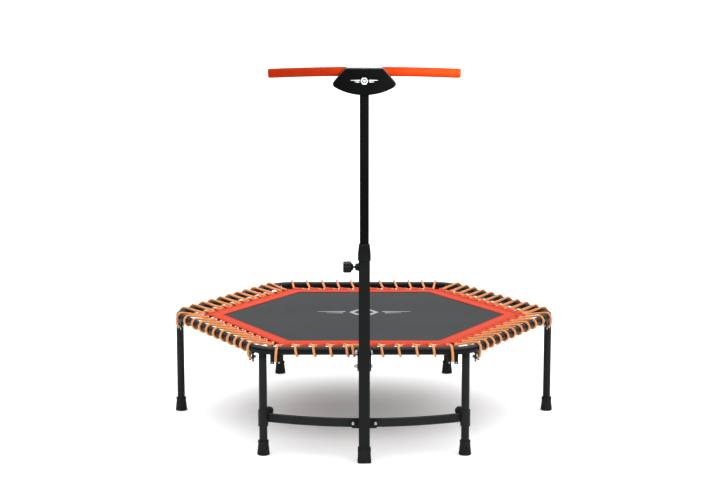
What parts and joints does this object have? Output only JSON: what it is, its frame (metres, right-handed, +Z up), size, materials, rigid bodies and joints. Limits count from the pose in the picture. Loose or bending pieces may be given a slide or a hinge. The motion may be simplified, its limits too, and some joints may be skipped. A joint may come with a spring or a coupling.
{
  "type": "mini trampoline",
  "caption": "Hexagonal fitness trampoline on tube legs, its mat laced to the frame with elastic rope, with a height-adjustable T-shaped handle bar.",
  "frame": {"origin": "on the floor, under the middle of the box round the whole trampoline", "axes": "+Z up; the handle post stands on the -Y side, and +X points to the right of someone who looks along +Y from in front of the post"},
  "size_m": [1.4154, 1.3432, 1.3196],
  "materials": {
    "frame_paint": "satin black powder coat",
    "post_paint": "satin black powder coat, slightly smoother",
    "rubber": "matt moulded black rubber",
    "black_plastic": "fine-grained black plastic",
    "cover_plastic": "fine-grained black plastic",
    "zinc_steel": "zinc-plated steel",
    "mat_fabric": "tightly woven dark grey polypropylene",
    "border_webbing": "coral red-orange webbing",
    "bungee_cord": "braided orange elastic rope",
    "grip_foam": "orange foam rubber"
  },
  "bodies": {
    "frame": {"frame_corner_front_right": "frame_paint", "leg_front_right": "frame_paint", "foot_front_right": "rubber", "frame_corner_right": "frame_paint", "leg_right": "frame_paint", "foot_right": "rubber", "frame_corner_back_right": "frame_paint", "leg_back_right": "frame_paint", "foot_back_right": "rubber", "frame_corner_back_left": "frame_paint", "leg_back_left": "frame_paint", "foot_back_left": "rubber", "frame_corner_left": "frame_paint", "leg_left": "frame_paint", "foot_left": "rubber", "frame_corner_front_left": "frame_paint", "leg_front_left": "frame_paint", "foot_front_left": "rubber", "frame_side_front": "frame_paint", "border_front": "border_webbing", "bungee_front": "bungee_cord", "frame_side_right_front": "frame_paint", "border_right_front": "border_webbing", "bungee_right_front": "bungee_cord", "frame_side_right_back": "frame_paint", "border_right_back": "border_webbing", "bungee_right_back": "bungee_cord", "frame_side_back": "frame_paint", "border_back": "border_webbing", "bungee_back": "bungee_cord", "frame_side_left_back": "frame_paint", "border_left_back": "border_webbing", "bungee_left_back": "bungee_cord", "frame_side_left_front": "frame_paint", "border_left_front": "border_webbing", "bungee_left_front": "bungee_cord", "mat": "mat_fabric", "outer_post": "frame_paint", "post_foot": "rubber", "post_collar": "black_plastic", "lock_boss": "frame_paint", "post_bracket": "frame_paint", "bracket_bolt_lower": "zinc_steel", "bracket_bolt_upper": "zinc_steel", "brace": "frame_paint", "brace_screw_left": "zinc_steel", "brace_screw_right": "zinc_steel", "brace_sleeve_left": "frame_paint", "brace_sleeve_right": "frame_paint"},
    "handle": {"inner_post": "post_paint", "crossbar": "post_paint", "grip_left": "grip_foam", "grip_right": "grip_foam", "cover_front": "cover_plastic", "cover_back": "cover_plastic"},
    "pin": {"lock_pin": "zinc_steel"},
    "lock_knob": {"lock_knob": "black_plastic"},
    "left_clamp_knob": {"sleeve_knob_left": "black_plastic"},
    "right_clamp_knob": {"sleeve_knob_right": "black_plastic"}
  },
  "joints": [
    {"name": "handle_height", "type": "slide", "parent": "frame", "child": "handle", "axis": [0, 0, 1], "range_m": [-0.19, 0.19]},
    {"name": "pin_pull", "type": "slide", "parent": "frame", "child": "pin", "axis": [-1, 0, 0], "range_m": [0, 0.01], "stiffness_N_per_m": 500, "springref_m": -0.01},
    {"name": "lock_knob_turn", "type": "hinge", "parent": "pin", "child": "lock_knob", "pos_m": [-0.05, -0.64465, 0.663], "axis": [-1, 0, 0], "range_deg": [0, 720]},
    {"name": "left_clamp_turn", "type": "hinge", "parent": "frame", "child": "left_clamp_knob", "pos_m": [-0.3241, -0.53651, 0.146], "axis": [0, 1, 0], "range_deg": [0, 720]},
    {"name": "right_clamp_turn", "type": "hinge", "parent": "frame", "child": "right_clamp_knob", "pos_m": [0.3241, -0.53651, 0.146], "axis": [0, 1, 0], "range_deg": [0, 720]}
  ]
}
